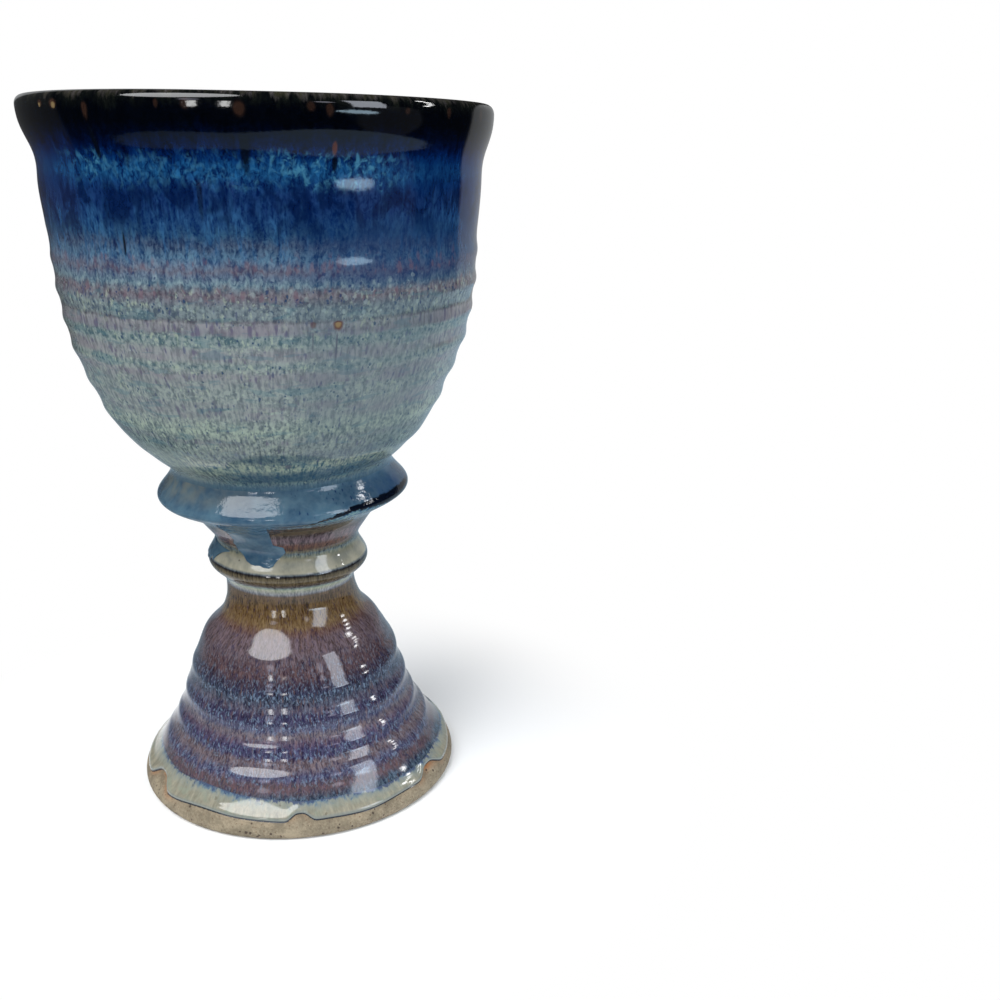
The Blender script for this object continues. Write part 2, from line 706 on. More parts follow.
# The glaze's shades on this cup, each as a dark grade and a light grade
shades = {
    # foot, from the cream up to the amber neck
    "blue_mist": ((22, 28, 46), (70, 84, 96)), "plum": ((62, 58, 62), (94, 74, 80)),
    "violet": ((32, 32, 60), (82, 84, 108)), "mauve": ((56, 46, 52), (110, 98, 102)),
    "violet_shade": ((26, 20, 44), (72, 70, 98)), "lilac": ((48, 40, 58), (96, 82, 96)),
    "pale_mauve": ((62, 58, 68), (118, 108, 110)), "deep_violet": ((24, 22, 40), (62, 58, 82)),
    "lilac_grey": ((36, 34, 48), (92, 86, 98)), "slate_streaks": ((10, 10, 30), (78, 82, 96)),
    "night": ((6, 6, 22), (52, 58, 80)), "wine": ((34, 24, 34), (62, 52, 62)),
    "wine_rose": ((38, 28, 36), (90, 72, 74)), "rose_grey": ((46, 34, 38), (98, 86, 92)),
    "dusty_rose": ((58, 46, 42), (104, 90, 98)), "rust": ((58, 36, 32), (106, 86, 80)),
    "ochre": ((68, 46, 30), (116, 98, 70)), "amber": ((52, 34, 16), (110, 90, 60)),
    "umber": ((42, 34, 20), (104, 84, 58)), "khaki": ((62, 56, 46), (104, 86, 70)),
    # waist, ring, neck and cone
    "mist_line": ((60, 60, 70), (130, 134, 140)), "cream_line": ((98, 106, 100), (160, 160, 154)),
    "cream_bead": ((128, 140, 120), (174, 178, 160)), "sea_mist": ((70, 86, 88), (150, 168, 162)),
    "grey_groove": ((42, 46, 52), (100, 106, 112)), "brown_groove": ((30, 26, 24), (82, 72, 66)),
    "khaki_brown": ((45, 36, 21), (98, 87, 64)), "brown_line": ((26, 22, 18), (66, 60, 48)),
    "black_line": ((8, 8, 13), (34, 34, 42)), "grey_line": ((40, 44, 50), (104, 112, 116)),
    "cream": ((96, 98, 86), (160, 156, 138)), "cream_green": ((70, 80, 80), (146, 144, 130)),
    "cream_shade": ((60, 70, 68), (136, 132, 110)), "cream_streaks": ((30, 42, 48), (130, 132, 114)),
    "blue_drips": ((10, 18, 32), (104, 116, 116)), "ink_streaks": ((10, 10, 18), (88, 84, 58)),
    "maroon": ((42, 34, 38), (94, 68, 56)), "rose_brown": ((40, 30, 42), (106, 74, 62)),
    "pink_haze": ((46, 44, 50), (116, 100, 106)), "mauve_shade": ((30, 22, 24), (96, 90, 92)),
    "dark_brown": ((26, 14, 8), (79, 62, 44)),
    # bowl, from the crease up to the shoulder line
    "slate": ((18, 38, 54), (86, 112, 120)), "slate_green": ((34, 60, 78), (100, 122, 120)),
    "teal_ink": ((6, 32, 52), (108, 122, 110)), "celadon": ((28, 64, 80), (130, 142, 126)),
    "teal_shade": ((16, 44, 56), (102, 120, 112)), "sea_grey": ((44, 62, 70), (120, 132, 126)),
    "pale_celadon": ((76, 90, 92), (138, 152, 138)), "stone": ((84, 94, 98), (128, 138, 134)),
    "dove": ((88, 92, 96), (126, 130, 132)), "sea_line": ((58, 80, 88), (118, 130, 128)),
    "dove_shade": ((74, 78, 86), (112, 116, 122)), "crease_grey": ((50, 50, 60), (98, 102, 106)),
    "slate_pale": ((60, 72, 84), (108, 120, 122)), "plum_grey": ((64, 66, 78), (100, 104, 112)),
    "plum_band": ((66, 60, 70), (108, 104, 110)), "haze": ((60, 62, 74), (106, 112, 120)),
    "sky": ((46, 70, 92), (114, 134, 140)),
    # bowl, from the shoulder line up to the black rim
    "steel": ((44, 56, 82), (96, 112, 128)), "plum_haze": ((60, 56, 74), (98, 104, 116)),
    "blue_slate": ((24, 46, 78), (80, 110, 130)), "dusk_blue": ((18, 30, 60), (66, 82, 102)),
    "cobalt_streaks": ((4, 28, 68), (42, 74, 100)), "cobalt": ((0, 22, 68), (30, 62, 96)),
    "deep_cobalt": ((0, 20, 60), (20, 46, 88)), "royal_blue": ((0, 10, 53), (18, 56, 100)),
    "bright_blue": ((0, 16, 58), (27, 80, 122)), "blue": ((0, 14, 56), (20, 70, 113)),
    "navy": ((0, 9, 47), (5, 43, 89)), "dark_navy": ((0, 4, 31), (0, 26, 72)),
    "midnight": ((0, 2, 20), (0, 16, 52)), "blue_black": ((0, 1, 9), (0, 7, 28)),
    "black": ((0, 1, 4), (1, 3, 9)), "worn_black": ((2, 3, 6), (14, 17, 14)),
    "bare_lip": ((80, 76, 76), (48, 46, 32)),
    # inside of the bowl, from the spiral up to the rim
    "lavender_brown": ((92, 70, 62), (128, 104, 96)), "lavender_rose": ((88, 72, 74), (126, 112, 122)),
    "lavender": ((82, 76, 90), (122, 120, 140)), "lavender_blue": ((86, 78, 98), (132, 128, 152)),
    "mauve_ring": ((88, 66, 86), (124, 104, 124)), "hyacinth": ((50, 58, 100), (98, 110, 142)),
    "inner_blue": ((14, 38, 86), (62, 92, 132)), "inner_cobalt": ((6, 26, 72), (34, 68, 112)),
    "inner_bright": ((5, 30, 80), (46, 96, 138)), "inner_navy": ((3, 20, 58), (26, 66, 106)),
}

# Bands in the order of their height in millimetres, each with its shade
bell_bands = [
    (9.5, "blue_mist"), (11.3, "plum"), (12.6, "plum"), (14.2, "violet"), (16.8, "mauve"), (18, "mauve"),
    (19.3, "violet_shade"), (21.2, "violet_shade"), (22.6, "lilac"), (24.6, "pale_mauve"), (26.2, "violet"),
    (28.3, "deep_violet"), (30, "deep_violet"), (31.6, "lilac_grey"), (33.5, "slate_streaks"),
    (35.3, "night"), (38.6, "wine"), (40.5, "wine_rose"), (42.6, "wine_rose"), (44.6, "rose_grey"),
    (46.5, "dusty_rose"), (48.6, "dusty_rose"), (50.2, "rust"), (52, "ochre"), (54, "amber"), (56, "amber"),
    (58, "umber"), (60.5, "khaki"),
]
stem_bands = [
    (59.5, "khaki"), (60.6, "khaki"), (61.3, "mist_line"), (62.4, "cream_line"), (63.3, "cream_bead"),
    (64.1, "sea_mist"), (64.7, "grey_groove"), (65.3, "brown_groove"), (66.4, "khaki_brown"),
    (67.5, "khaki_brown"), (67.95, "brown_line"), (68.25, "black_line"), (68.55, "grey_line"), (69, "cream"),
    (71.2, "cream_green"), (72.7, "cream_shade"), (73.5, "cream_streaks"), (74.15, "blue_drips"),
    (74.9, "ink_streaks"), (76, "maroon"), (77.3, "rose_brown"), (78.6, "pink_haze"), (79.8, "pink_haze"),
    (80.8, "mauve_shade"), (82, "dark_brown"), (86, "dark_brown"),
]
bowl_low_bands = [
    (95, "slate"), (98, "slate_green"), (101, "teal_ink"), (103, "celadon"), (105, "celadon"),
    (106.2, "teal_shade"), (107.5, "teal_shade"), (112.5, "sea_grey"), (114.5, "pale_celadon"),
    (119, "stone"), (127.6, "stone"), (129.6, "dove"), (131, "stone"), (131.6, "sea_line"), (132.6, "stone"),
    (134.4, "dove"), (136.2, "stone"), (137.2, "sea_line"), (138.6, "sea_line"), (139.8, "dove_shade"),
    (141.6, "dove"), (142.1, "crease_grey"), (143, "slate_pale"), (145.2, "slate_pale"), (146.6, "plum_grey"),
    (147.8, "plum_band"), (148.9, "haze"), (150.2, "sky"),
]
bowl_high_bands = [
    (147.8, "plum_band"), (148.9, "haze"), (150.2, "sky"), (151.8, "steel"), (153, "plum_haze"),
    (154.4, "steel"), (156, "blue_slate"), (158.5, "dusk_blue"), (161, "cobalt_streaks"), (163.5, "cobalt"),
    (166.5, "deep_cobalt"), (169.5, "deep_cobalt"), (171.5, "royal_blue"), (173.5, "bright_blue"),
    (175, "blue"), (176.5, "navy"), (178, "dark_navy"), (179.6, "midnight"), (181.5, "blue_black"),
    (184, "black"), (186.5, "black"), (188.5, "worn_black"), (190.5, "bare_lip"),
]
# Heights on the lower bowl where the grain is drawn out in runs (1) or broken in dots (0)
drawn_bands = [
    (95, 0.2), (110.8, 0.2), (111.8, 0.7), (113, 0.1), (117.4, 0.2), (119.2, 0.8), (122.2, 0.8), (123.4, 0.1),
    (126, 0.1), (127, 1), (129.4, 1), (130.4, 0), (132.4, 0), (133.2, 1), (135.6, 1), (136.5, 0), (138.6, 0),
    (139.3, 1), (141.6, 1), (142.6, 0.1), (150, 0.1),
]
liner_bands = [
    (100, "lavender_brown"), (112, "lavender_rose"), (124, "lavender"), (136, "lavender_blue"),
    (144, "mauve_ring"), (151, "hyacinth"), (158, "inner_blue"), (166, "inner_cobalt"), (172, "inner_bright"),
    (176, "inner_navy"),
]

# Tones of the iron marks; an oval has three, from its edge inwards
mark_tones = {
    "oval": ((14, 10, 10), (56, 37, 28), (30, 20, 17)),
    "drip": (3, 7, 16), "rust": (74, 40, 28), "tan": (122, 104, 72), "vein": (62, 66, 82),
}


def marks(colour, table):
    """Iron marks laid over a colour: place in degrees, level, width, reach up and down in
    millimetres, kind of mark and strength. An oval is dark at its edge, rust brown within
    and dark in the middle; the other kinds have one tone."""
    for place, level, width, up, down, kind, strength in table:
        near = add("Group", {
            "Turn": deg(place), "Level": level * MM, "Width": width * MM,
            "Up": up * MM, "Down": down * MM, "Ragged": 0.22,
        }, node_tree=spot)
        if kind == "oval":
            edge, within, middle = (
                stretch(near, *span) * strength for span in ((0, 0.3), (0.2, 0.6), (0.6, 0.9))
            )
            colour = layered(colour, zip((edge, within * 0.75, middle * 0.6), mark_tones[kind]))
        else:
            colour = layered(colour, [(stretch(near, 0.05, 0.55) * strength, mark_tones[kind])])
    return colour


rim_marks = [
    (-42.6, 187.4, 1.04, 0.81, 1.08, "oval", 0.9), (-37.4, 187.3, 1.61, 1.08, 1.53, "oval", 1.00),
    (-27.3, 186.6, 1, 1.2, 3.4, "oval", 0.6), (-9.9, 187.3, 0.63, 0.99, 1.35, "oval", 0.44),
    (-3.8, 187.3, 1.27, 1.44, 1.71, "oval", 0.41), (6.9, 186.6, 1.5, 1.8, 2.4, "oval", 0.62),
    (21.3, 187.2, 1.13, 1.17, 1.53, "oval", 0.44), (25.2, 186.8, 1.06, 1.44, 2.16, "oval", 0.53),
    (43.5, 187, 0.84, 0.81, 1.17, "oval", 0.41), (56.4, 187.2, 0.99, 1.08, 1.98, "oval", 0.48),
    (72, 187.1, 1.27, 1.44, 2.34, "oval", 0.48), (90, 187.3, 0.92, 0.99, 1.35, "oval", 0.41),
    (104, 186.8, 1.34, 1.62, 2.88, "oval", 0.53), (127, 187.2, 0.99, 0.99, 1.44, "oval", 0.48),
    (139, 187, 1.34, 1.53, 2.34, "oval", 0.48), (163, 187.3, 0.84, 0.9, 1.26, "oval", 0.41),
    (184, 186.8, 1.48, 1.8, 3.06, "oval", 0.59), (201, 187.2, 0.99, 1.08, 1.62, "oval", 0.48),
    (214, 187.3, 0.77, 0.81, 1.08, "oval", 0.41), (238, 187, 1.27, 1.35, 2.16, "oval", 0.53),
    (257, 187.2, 1.06, 1.17, 1.62, "oval", 0.48), (281, 186.9, 1.41, 1.62, 2.7, "oval", 0.53),
    (298, 187.3, 0.84, 0.9, 1.26, "oval", 0.41), (26.5, 179.2, 0.7, 1.7, 2.2, "rust", 0.8),
    (26.6, 176.2, 0.8, 1.6, 2.6, "drip", 0.9), (7.4, 179, 1.2, 4.5, 6, "drip", 0.9),
    (-27, 179, 0.9, 5.5, 4, "drip", 0.9), (150, 179.5, 1, 4, 5, "drip", 0.85),
    (232, 178.5, 0.9, 5, 5, "drip", 0.85), (86, 179.5, 0.8, 3.5, 4.5, "drip", 0.8),
    (-37.2, 187, 0.9, 0.7, 0.9, "tan", 0.7), (-42.8, 187.1, 0.6, 0.5, 0.7, "tan", 0.6),
]
bowl_marks = [
    (7.4, 176.5, 1.1, 3, 4, "drip", 0.7), (-27, 177, 0.8, 3, 2.6, "drip", 0.75),
    (26.6, 176, 0.8, 1.8, 2.2, "drip", 0.9), (-3.1, 169.5, 0.75, 5, 7.5, "drip", 0.6),
    (-23.6, 158.6, 0.42, 3.4, 3.8, "drip", 0.85), (-33.5, 156.5, 0.3, 6, 9, "vein", 0.5),
    (21, 141.6, 0.9, 0.7, 1.4, "rust", 0.55), (27.2, 141.5, 1.5, 0.9, 2.1, "rust", 0.9),
    (27.2, 141.5, 0.95, 0.5, 1.3, "tan", 0.8), (27, 138, 0.3, 2, 7, "vein", 0.75),
    (21, 138.5, 0.26, 2, 5.5, "vein", 0.55), (14.5, 104.6, 1.4, 0.9, 1.1, "vein", 0.8),
    (150, 172, 0.7, 5, 6, "drip", 0.6), (205, 160, 0.45, 5, 5, "drip", 0.75),
    (112, 143, 1.2, 0.8, 1.8, "rust", 0.7), (112, 139, 0.3, 2, 6, "vein", 0.6),
]
waist_marks = [
    (38, 60.5, 0.35, 0.6, 3.4, "drip", 0.75), (42.5, 60, 0.6, 0.8, 2.6, "drip", 0.6),
    (45.5, 60.5, 0.3, 0.5, 4.6, "drip", 0.8), (49, 59, 0.5, 1.2, 2.2, "drip", 0.6),
    (-42, 59, 0.45, 0.8, 3.6, "drip", 0.6), (140, 60, 0.5, 0.8, 3.8, "drip", 0.7),
    (205, 59.5, 0.4, 0.8, 4.2, "drip", 0.7),
]

# Heights on the foot with the weight of the pale frost there
frost_bands = [
    (9.5, 0.5), (11.5, 0.25), (14, 0.85), (16.5, 0.3), (19.5, 0.9), (23, 0.4), (24.8, 0.2), (27, 0.95),
    (30, 0.8), (32, 0.3), (34.6, 1), (37, 0.7), (39.5, 0.4), (42, 0.45), (44.5, 0.2), (47, 0),
]


def make_bell_glaze():
    """Mauve and blue bands that follow the throwing rings, of fine curled grain, frosted
    with pale blue flecks where the bands are dark."""
    material = surface("mauve_glaze")
    mask = grain_mask(0.14, 1.1, 0.2)
    level = ragged_level(1.8, 2.4)
    frost = stretch(streak(0.9, 1.2, 21, 4, 0.8), 0.5, 0.64)
    strokes = stretch(streak(0.9, 3.4, 24, 2, 0.4), 0.56, 0.68)
    ink = stretch(streak(1.1, 1.7, 27, 3, 0.9), 0.55, 0.66)
    upper = stretch(level, 44, 54)
    colour = layered(banded(level, bell_bands, mask), [
        (frost * weight_at(level, frost_bands) * 0.58, (118, 140, 162)),
        (strokes * 0.4, (100, 74, 64)),
        (ink * 0.6, (32, 34, 62)),
        (dots(2.4, 0.16, 0.35) * (upper * 0.7 + 0.2), (30, 20, 16)),
    ])
    return finish_glaze(material, marks(colour, waist_marks), mask)


def make_stem_glaze():
    """Cream ring, celadon groove and brown neck, in thin bands with dark breaks."""
    material = surface("stem_glaze")
    level = ragged_level(0.7, 0.8, (69.5, 76))
    on_ring = between(level, 68.4, 69, 72.6, 73.4)
    smooth = stretch(cloud(5, 3), 0.32, 0.6, 0.5, 1)
    mask = mixed(on_ring * 0.85, grain_mask(0.16, 0.8, 0.3), smooth)
    fringe = between(level, 72.2, 72.9, 73.8, 74.4) * stretch(streak(0.5, 2, 33), 0.45, 0.6)
    colour = layered(banded(level, stem_bands, mask), [
        (fringe * 0.25, (60, 92, 112)),
        (dots(2, 0.15, 0.35) * 0.6, (26, 18, 18)),
    ])
    return finish_glaze(material, colour, mask)


def upper_bowl(level, mask):
    """Bands from the shoulder line up to the black lip, under a turquoise haze that stands
    in tufts at the front and the back, pale wisps, and deep blue between them."""
    tuft = stretch(streak(1.6, 2.1, 41, 3, 0.55), 0.46, 0.68)
    stand = stretch(cloud(16, 1), 0.4, 0.56)
    frosted = highest(facing(2, 0.62, 0.86), facing(190, 0.3, 0.7))
    haze = between(level, 169, 172, 176, 179) * tuft * (stand * 0.65 + 0.35) * 0.8 * frosted
    plain = (1 - frosted) * between(level, 168, 171, 176, 179) * 0.55
    veil = stretch(streak(4, 26, 71, 2, 0.6), 0.42, 0.6)
    wisps = stretch(streak(0.7, 3, 73), 0.4, 0.6)
    inky = stretch(streak(5, 9, 61, 2, 0.8), 0.44, 0.6)
    return layered(banded(level, bowl_high_bands, mask), [
        (haze, (60, 116, 142)),
        (plain, (0, 30, 74)),
        (veil * between(level, 152, 158, 163, 172) * wisps * 0.35, (50, 98, 140)),
        (between(level, 158, 164, 169, 176) * inky * 0.7, (0, 12, 46)),
        (facing(55, 0.7, 0.96) * between(level, 147, 152, 160, 167) * 0.6, (12, 42, 82)),
    ])


def lower_bowl(level):
    """Grey green bands below the shoulder line, drawn out in runs at some heights and
    broken in dots at others, under mauve mist, cream, drops and darker pools."""
    unbroken = stretch(streak(11, 3, 53, 3, 0.5), 0.36, 0.5)
    drawn = weight_at(level, drawn_bands) * unbroken
    broken = 1 - drawn
    runny = streak(0.85, 3.2, 14, 2, 0.3) * (drawn * 0.4 + 0.35)
    mottled = streak(1.1, 1.3, 15, 3, 0.6) * (broken * 0.4 + 0.25)
    stand = stretch(streak(9, 5, 17, 3, 0.6), 0.44, 0.56)
    mist = stretch(streak(12, 5, 29, 3, 0.5), 0.5, 0.6)
    cream = stretch(streak(1, 2, 2, 2, 0.15), 0.54, 0.68)
    violet = drop(1.1, 3.4, 0.34, 0.62, 9) * drawn
    beads = drop(0.95, 1.1, 0.3, 0.4, 11) * broken * stretch(level, 146.4, 145.2)
    ink = drop(1, 3, 0.24, 0.55, 8) * (stand * -0.45 + 0.65)
    clusters = stretch(streak(8, 4, 37, 3, 0.5), 0.36, 0.54)
    seeds = drop(0.95, 1.4, 0.25, 0.62, 5) * clusters * (broken * 0.7 + 0.2)
    patches = stretch(streak(10, 2.4, 19, 3, 0.5), 0.56, 0.64)
    low_pool = between(level, 98, 99.4, 101.2, 103.6) * 0.7
    high_pool = between(level, 105.2, 106.4, 107.6, 109.4) * 0.45
    return layered(banded(level, bowl_low_bands, stretch(runny + mottled, 0.36, 0.62)), [
        (drawn * (mist * 0.3 + 0.22), (118, 112, 120)),
        (cream * (stand * 0.35 + 0.08) * (broken * 0.9 + 0.5), (144, 156, 138)),
        (violet * 0.75, (80, 76, 98)),
        (beads * 0.4, (150, 166, 150)),
        (ink, (54, 60, 94)),
        (seeds, (30, 54, 84)),
        (patches * 0.4, (66, 98, 108)),
        (facing(22, 0.74, 0.95) * highest(low_pool, high_pool), (38, 66, 86)),
        (facing(40, 0.88, 0.97) * between(level, 104, 109, 144, 150) * 0.35, (72, 88, 96)),
        (facing(-60, 0.7, 0.96) * stretch(level, 110, 106) * 0.45, (146, 154, 146)),
        (stretch(level, 98.6, 96.4) * 0.8, (50, 76, 94)),
    ])


def shoulder_line(level, colour):
    """Plum, pale and dark drops where the blue breaks into the grey green."""
    plum_line = between(level, 146.2, 147.2, 148.6, 149.6)
    plum_wash = between(level, 152.2, 153.2, 154.5, 158) * 0.7
    plum = drop(1.3, 3, 0.42, 0.55, 3) * highest(plum_line, plum_wash)
    pale = drop(1.3, 1.5, 0.34, 0.45, 6) * between(level, 142, 144, 151, 153)
    seeds = drop(1.2, 1.4, 0.22, 0.45, 7) * between(level, 143, 145, 152, 156)
    return layered(colour, [
        (plum * 0.6, (98, 78, 88)), (pale * 0.3, (142, 160, 158)), (seeds * 0.8, (34, 50, 84)),
    ])


def make_bowl_glaze(name, iron_marks, roughness, to_the_foot):
    """Floating blue that breaks from black at the lip through cobalt and turquoise; to the
    foot of the bowl it goes on into grey green."""
    material = surface(name)
    mask = grain_mask(0.14, 1.4, 0.28)
    level = ragged_level(4.2, 3, (143, 154))
    colour = upper_bowl(level, mask)
    if to_the_foot:
        colour = over(stretch(level, 148.2, 149.4), lower_bowl(level), colour)
        colour = shoulder_line(level, colour)
    return finish_glaze(material, marks(colour, iron_marks), mask, roughness)


def make_collar_glaze():
    """Smooth slate blue, cloudy, browner where it thins, with a black line that thickens
    and breaks up on the right, and teal below it."""
    material = surface("slate_blue_glaze")
    mask = stretch(cloud(9, 3), 0.34, 0.66)
    fine = stretch(cloud(1.6, 3, 5), 0.35, 0.65)
    warm = field("warmth") * stretch(cloud(6, 2, 9), 0.3, 0.6)
    ink, width = field("ink"), field("ink_width")
    seeds = drop(0.9, 1.1, 0.3, 0.35, 3) * ink * stretch(cloud(7, 2, 31), 0.48, 0.58)
    off = in_millimetres("ink_line") + (cloud(1.5, 3, 17) - 0.5) * 1.1
    teal = over(stretch(cloud(0.9, 3, 23), 0.42, 0.6), paint(36, 74, 104), paint(100, 128, 130))
    line = stretch(calculate("ABSOLUTE", off) / (width + 0.16), 1.25, 0.75)
    colour = layered(over(mask, paint(44, 70, 92), paint(68, 95, 112)), [
        (fine * 0.15, (104, 124, 132)),
        (warm * 0.8, (104, 108, 102)),
        (seeds * 0.8, (12, 34, 74)),
        (stretch(off, 0.1, -0.3), teal),
        (stretch(width, 0.2, 0.8) * stretch(off, 9, 0.5) * mask * 0.75, (22, 52, 96)),
        (line * stretch(ink, 0, 0.5), (5, 10, 22)),
    ])
    return finish_glaze(material, colour, fine, 0.05, 0.07, 1.42)


def make_cream_glaze():
    """Cream celadon band, misty blue where it meets the mauve, with a dark lower edge."""
    material = surface("cream_glaze")
    mask = grain_mask(0.2, 0.8, 0.45)
    pools = cloud(4, 3)
    off = in_millimetres("from_high") + (streak(1.6, 2.4, 5, 3, 1) - 0.5) * 4.5
    edge = in_millimetres("from_low")
    colour = layered(over(mask, paint(112, 111, 98), paint(150, 144, 127)), [
        (stretch(pools, 0.5, 0.66) * 0.5, (124, 134, 119)),
        (stretch(off, 4, 1.2) * 0.45, (118, 130, 126)),
        (stretch(off, 2, 0.4) * stretch(pools, 0.35, 0.6), (84, 104, 120)),
        (stretch(off, 0.8, 0) * 0.9, (60, 72, 98)),
        (stretch(edge, 1.3, 0.4) * 0.7, (108, 116, 114)),
        (stretch(edge, 0.36, 0.12), (46, 54, 64)),
        (dots(2.6, 0.14, 0.3) * 0.5, (88, 80, 70)),
    ])
    return finish_glaze(material, colour, mask, 0.06)


def make_liner_glaze():
    """Cobalt under the rim, a mauve ring, then lavender on brown along the spiral."""
    material = surface("liner_glaze")
    mask = grain_mask(0.15, 1.2, 0.3)
    level = ragged_level(3.2, 2.4)
    frayed = field("relief") + (streak(0.9, 2, 13) - 0.5) * 0.9
    deep = stretch(level, 160, 148)
    colour = layered(banded(level, liner_bands, mask), [
        (stretch(frayed, -0.02, -0.3) * deep * 0.85, (138, 144, 176)),
        (stretch(frayed, 0.06, 0.36) * deep * 0.6, (112, 80, 58)),
    ])
    return finish_glaze(material, colour, mask, 0.06)


def make_clay(name, dark, light, flashed):
    """Bare stoneware: sandy, turned, with iron specks and a rust flash by the glaze."""
    material = surface(name)
    place = object_place()
    patches = noise(place, 160, 4, 0.62)
    sand = noise(place, 1500, 3, 0.7)
    both = patches * 0.6 + sand * 0.4
    colour = over(stretch(both, 0.36, 0.64), paint(*dark), paint(*light))
    if flashed:
        warm = field("flash") * stretch(patches, 0.3, 0.62)
        colour = layered(colour, [(warm, (146, 92, 46))])
    big, small = dots(1.7, 0.2, 0.7), dots(0.8, 0.22, 0.7)
    colour = layered(colour, [(small * 0.7, (88, 62, 44)), (big * 0.9, (52, 36, 28))])
    return finish(material, colour, stretch(both, 0.3, 0.7, 0.72, 0.9), sand - big * 0.8, 0.12, 0.8)


bell_glaze = make_bell_glaze()
stem_glaze = make_stem_glaze()
bowl_glaze = make_bowl_glaze("blue_grey_glaze", bowl_marks, 0.06, True)
rim_glaze = make_bowl_glaze("black_rim_glaze", rim_marks, 0.05, False)
collar_glaze = make_collar_glaze()
cream_glaze = make_cream_glaze()
liner_glaze = make_liner_glaze()
bare_clay = make_clay("bare_clay", (104, 94, 76), (146, 134, 112), True)
joint_slip = make_clay("joint_slip", (110, 96, 80), (140, 126, 106), False)


# ---- Clay bodies ----

# Places round the foot in degrees where the glaze line draws up into a notch
notches = [
    (9.5, 3.6, 1.7), (-55, 6.5, 2.9), (67, 6.0, 2.2), (161, 7.5, 2.4), (-112, 4.0, 1.2), (118, 3.0, 1.0),
]
flashes = [(-55, 10, 1.0), (67, 8, 0.9), (161, 12, 0.8), (9.5, 4, 0.25)]


def glaze_edge(angle):
    """Height of the wavy glaze line above the foot, with the places where it draws up."""
    return (
        glaze_line
        + waves(angle, [(3, 0.30, 0.6), (5, 0.24, 2.1), (9, 0.14, 4.0), (14, 0.08, 1.0)])
        + dips(angle, notches)
    )


def cream_edge(angle):
    """Height at which the mauve glaze ends over the cream band: lower on the right."""
    slope = -0.25 * MM - 1.45 * MM * np.sin(angle)
    return cream_line + slope + waves(angle, [(4, 0.22, 1.0), (7, 0.2, 3.0), (13, 0.12, 0.4)])


def collar_edge(angle):
    """Height of the collar glaze's lower edge on the underside of the collar."""
    return cone_line + 3.1 * MM + waves(angle, [(2, 0.3, 0.2), (5, 0.22, 1.4), (9, 0.12, 2.2)])


def round_the_pot(turns, values):
    """A function of the angle that follows values listed at turns in degrees from 0 to 360."""
    return lambda angle, run=0: np.interp(np.degrees(angle) % 360, turns, values) + 0 * run


# Height in millimetres of the black line above the collar glaze's lower edge: it climbs
# from the underside at the front to the crest on the right and wanders round the back
ink_line = round_the_pot(
    [0, 8, 14, 27, 42, 60, 80, 110, 150, 190, 230, 262, 290, 360],
    [83.5, 86.0, 86.9, 88.1, 89.1, 89.1, 88.8, 88.6, 88.4, 89.2, 88.2, 86.0, 83.5, 83.5],
)


def section(line_start, line_end, rows, angle):
    """Rows of the clay line with its relief, between two distances."""
    return stood_off(angle, np.linspace(line_start, line_end, rows)[None])


def straight(points, rows, angle):
    """Rows spaced evenly along a plain line of radius and height, the same all round."""
    run = run_of(points)
    even = np.linspace(0, run[-1], rows)
    radius, height = (np.interp(even, run, points[:, k])[None] + 0 * angle for k in (0, 1))
    return radius, height, even[None] + 0 * angle


def joined(*parts):
    """Sections set end to end along the profile."""
    return [np.concatenate(column, 1) for column in zip(*parts)]


def make_bodies():
    """The three thrown clay sections and the two slip joints. Inside the foot a low ridge
    climbs as a cosine of the height, once round for each pitch, and fades at both ends."""
    bell_around, spool_around, bowl_around, slip_around = 320, 160, 200, 120
    foot_rows, wall_rows, inside_rows, foot_top, wall_start = 44, 90, 90, 8 * MM, 8.3 * MM
    ridge_rise, ridge_pitch, ridge_fade, flash_width = 0.22 * MM, 6.5 * MM, 8 * MM, 1.1 * MM
    angle = angles(bell_around)
    foot = section(0, clay.up_to(foot_top), foot_rows, angle)
    wall = section(clay.up_to(wall_start), clay.up_to(waist), wall_rows, angle)
    radius, height, distance = straight(softened(bell_in)[::-1], inside_rows, angle)
    ridge = ridge_rise * np.cos(TURN * height / ridge_pitch - angle)
    ridge = ridge * np.clip(height / ridge_fade, 0, 1) * np.clip((waist - height) / ridge_fade, 0, 1)
    profile = joined(foot, wall, (radius + ridge, height, distance))
    below = np.exp(-(((glaze_edge(angle) - profile[1]) / flash_width) ** 2))
    below[:, foot_rows + wall_rows :] = 0
    flash = below * np.clip(dips(angle, flashes) / MM + 0.06, 0, 1)
    turned("bell_clay", angle, profile, "foot_bell", bare_clay, extras={"flash": flash})

    angle = angles(spool_around)
    outside = section(clay.up_to(stem_foot), clay.up_to(stem_top), 110, angle)
    profile = joined(outside, straight(softened(spool_in)[::-1], 60, angle))
    turned("spool_clay", angle, profile, "stem_spool", bare_clay)

    angle = angles(bowl_around)
    first = clay.up_to(bowl_base)
    floor_edge = clay.at(first)[0] - 0.3 * MM
    base = straight(np.array([[0, bowl_base], [floor_edge, bowl_base]]), 24, angle)
    profile = joined(base, section(first, clay.run[-1], 300, angle))
    turned("bowl_clay", angle, profile, "bowl_body", bare_clay, poles=True)

    angle = angles(slip_around)
    for name, node in (("lower_slip", "foot_slip_joint"), ("upper_slip", "bowl_slip_joint")):
        outer_wall, inner_wall = walls(node)
        inner, outer = inner_wall[:, 0].min(), outer_wall[:, 0].max()
        corners = np.array([[inner, low(node)], [outer, low(node)], [outer, high(node)], [inner, high(node)]])
        sides = [straight(corners[[k, (k + 1) % 4]], 4, angle) for k in range(4)]
        profile = joined(*[[column[:, :-1] for column in side] for side in sides])
        turned(name, angle, profile, node, joint_slip)


# ---- Glaze coats ----


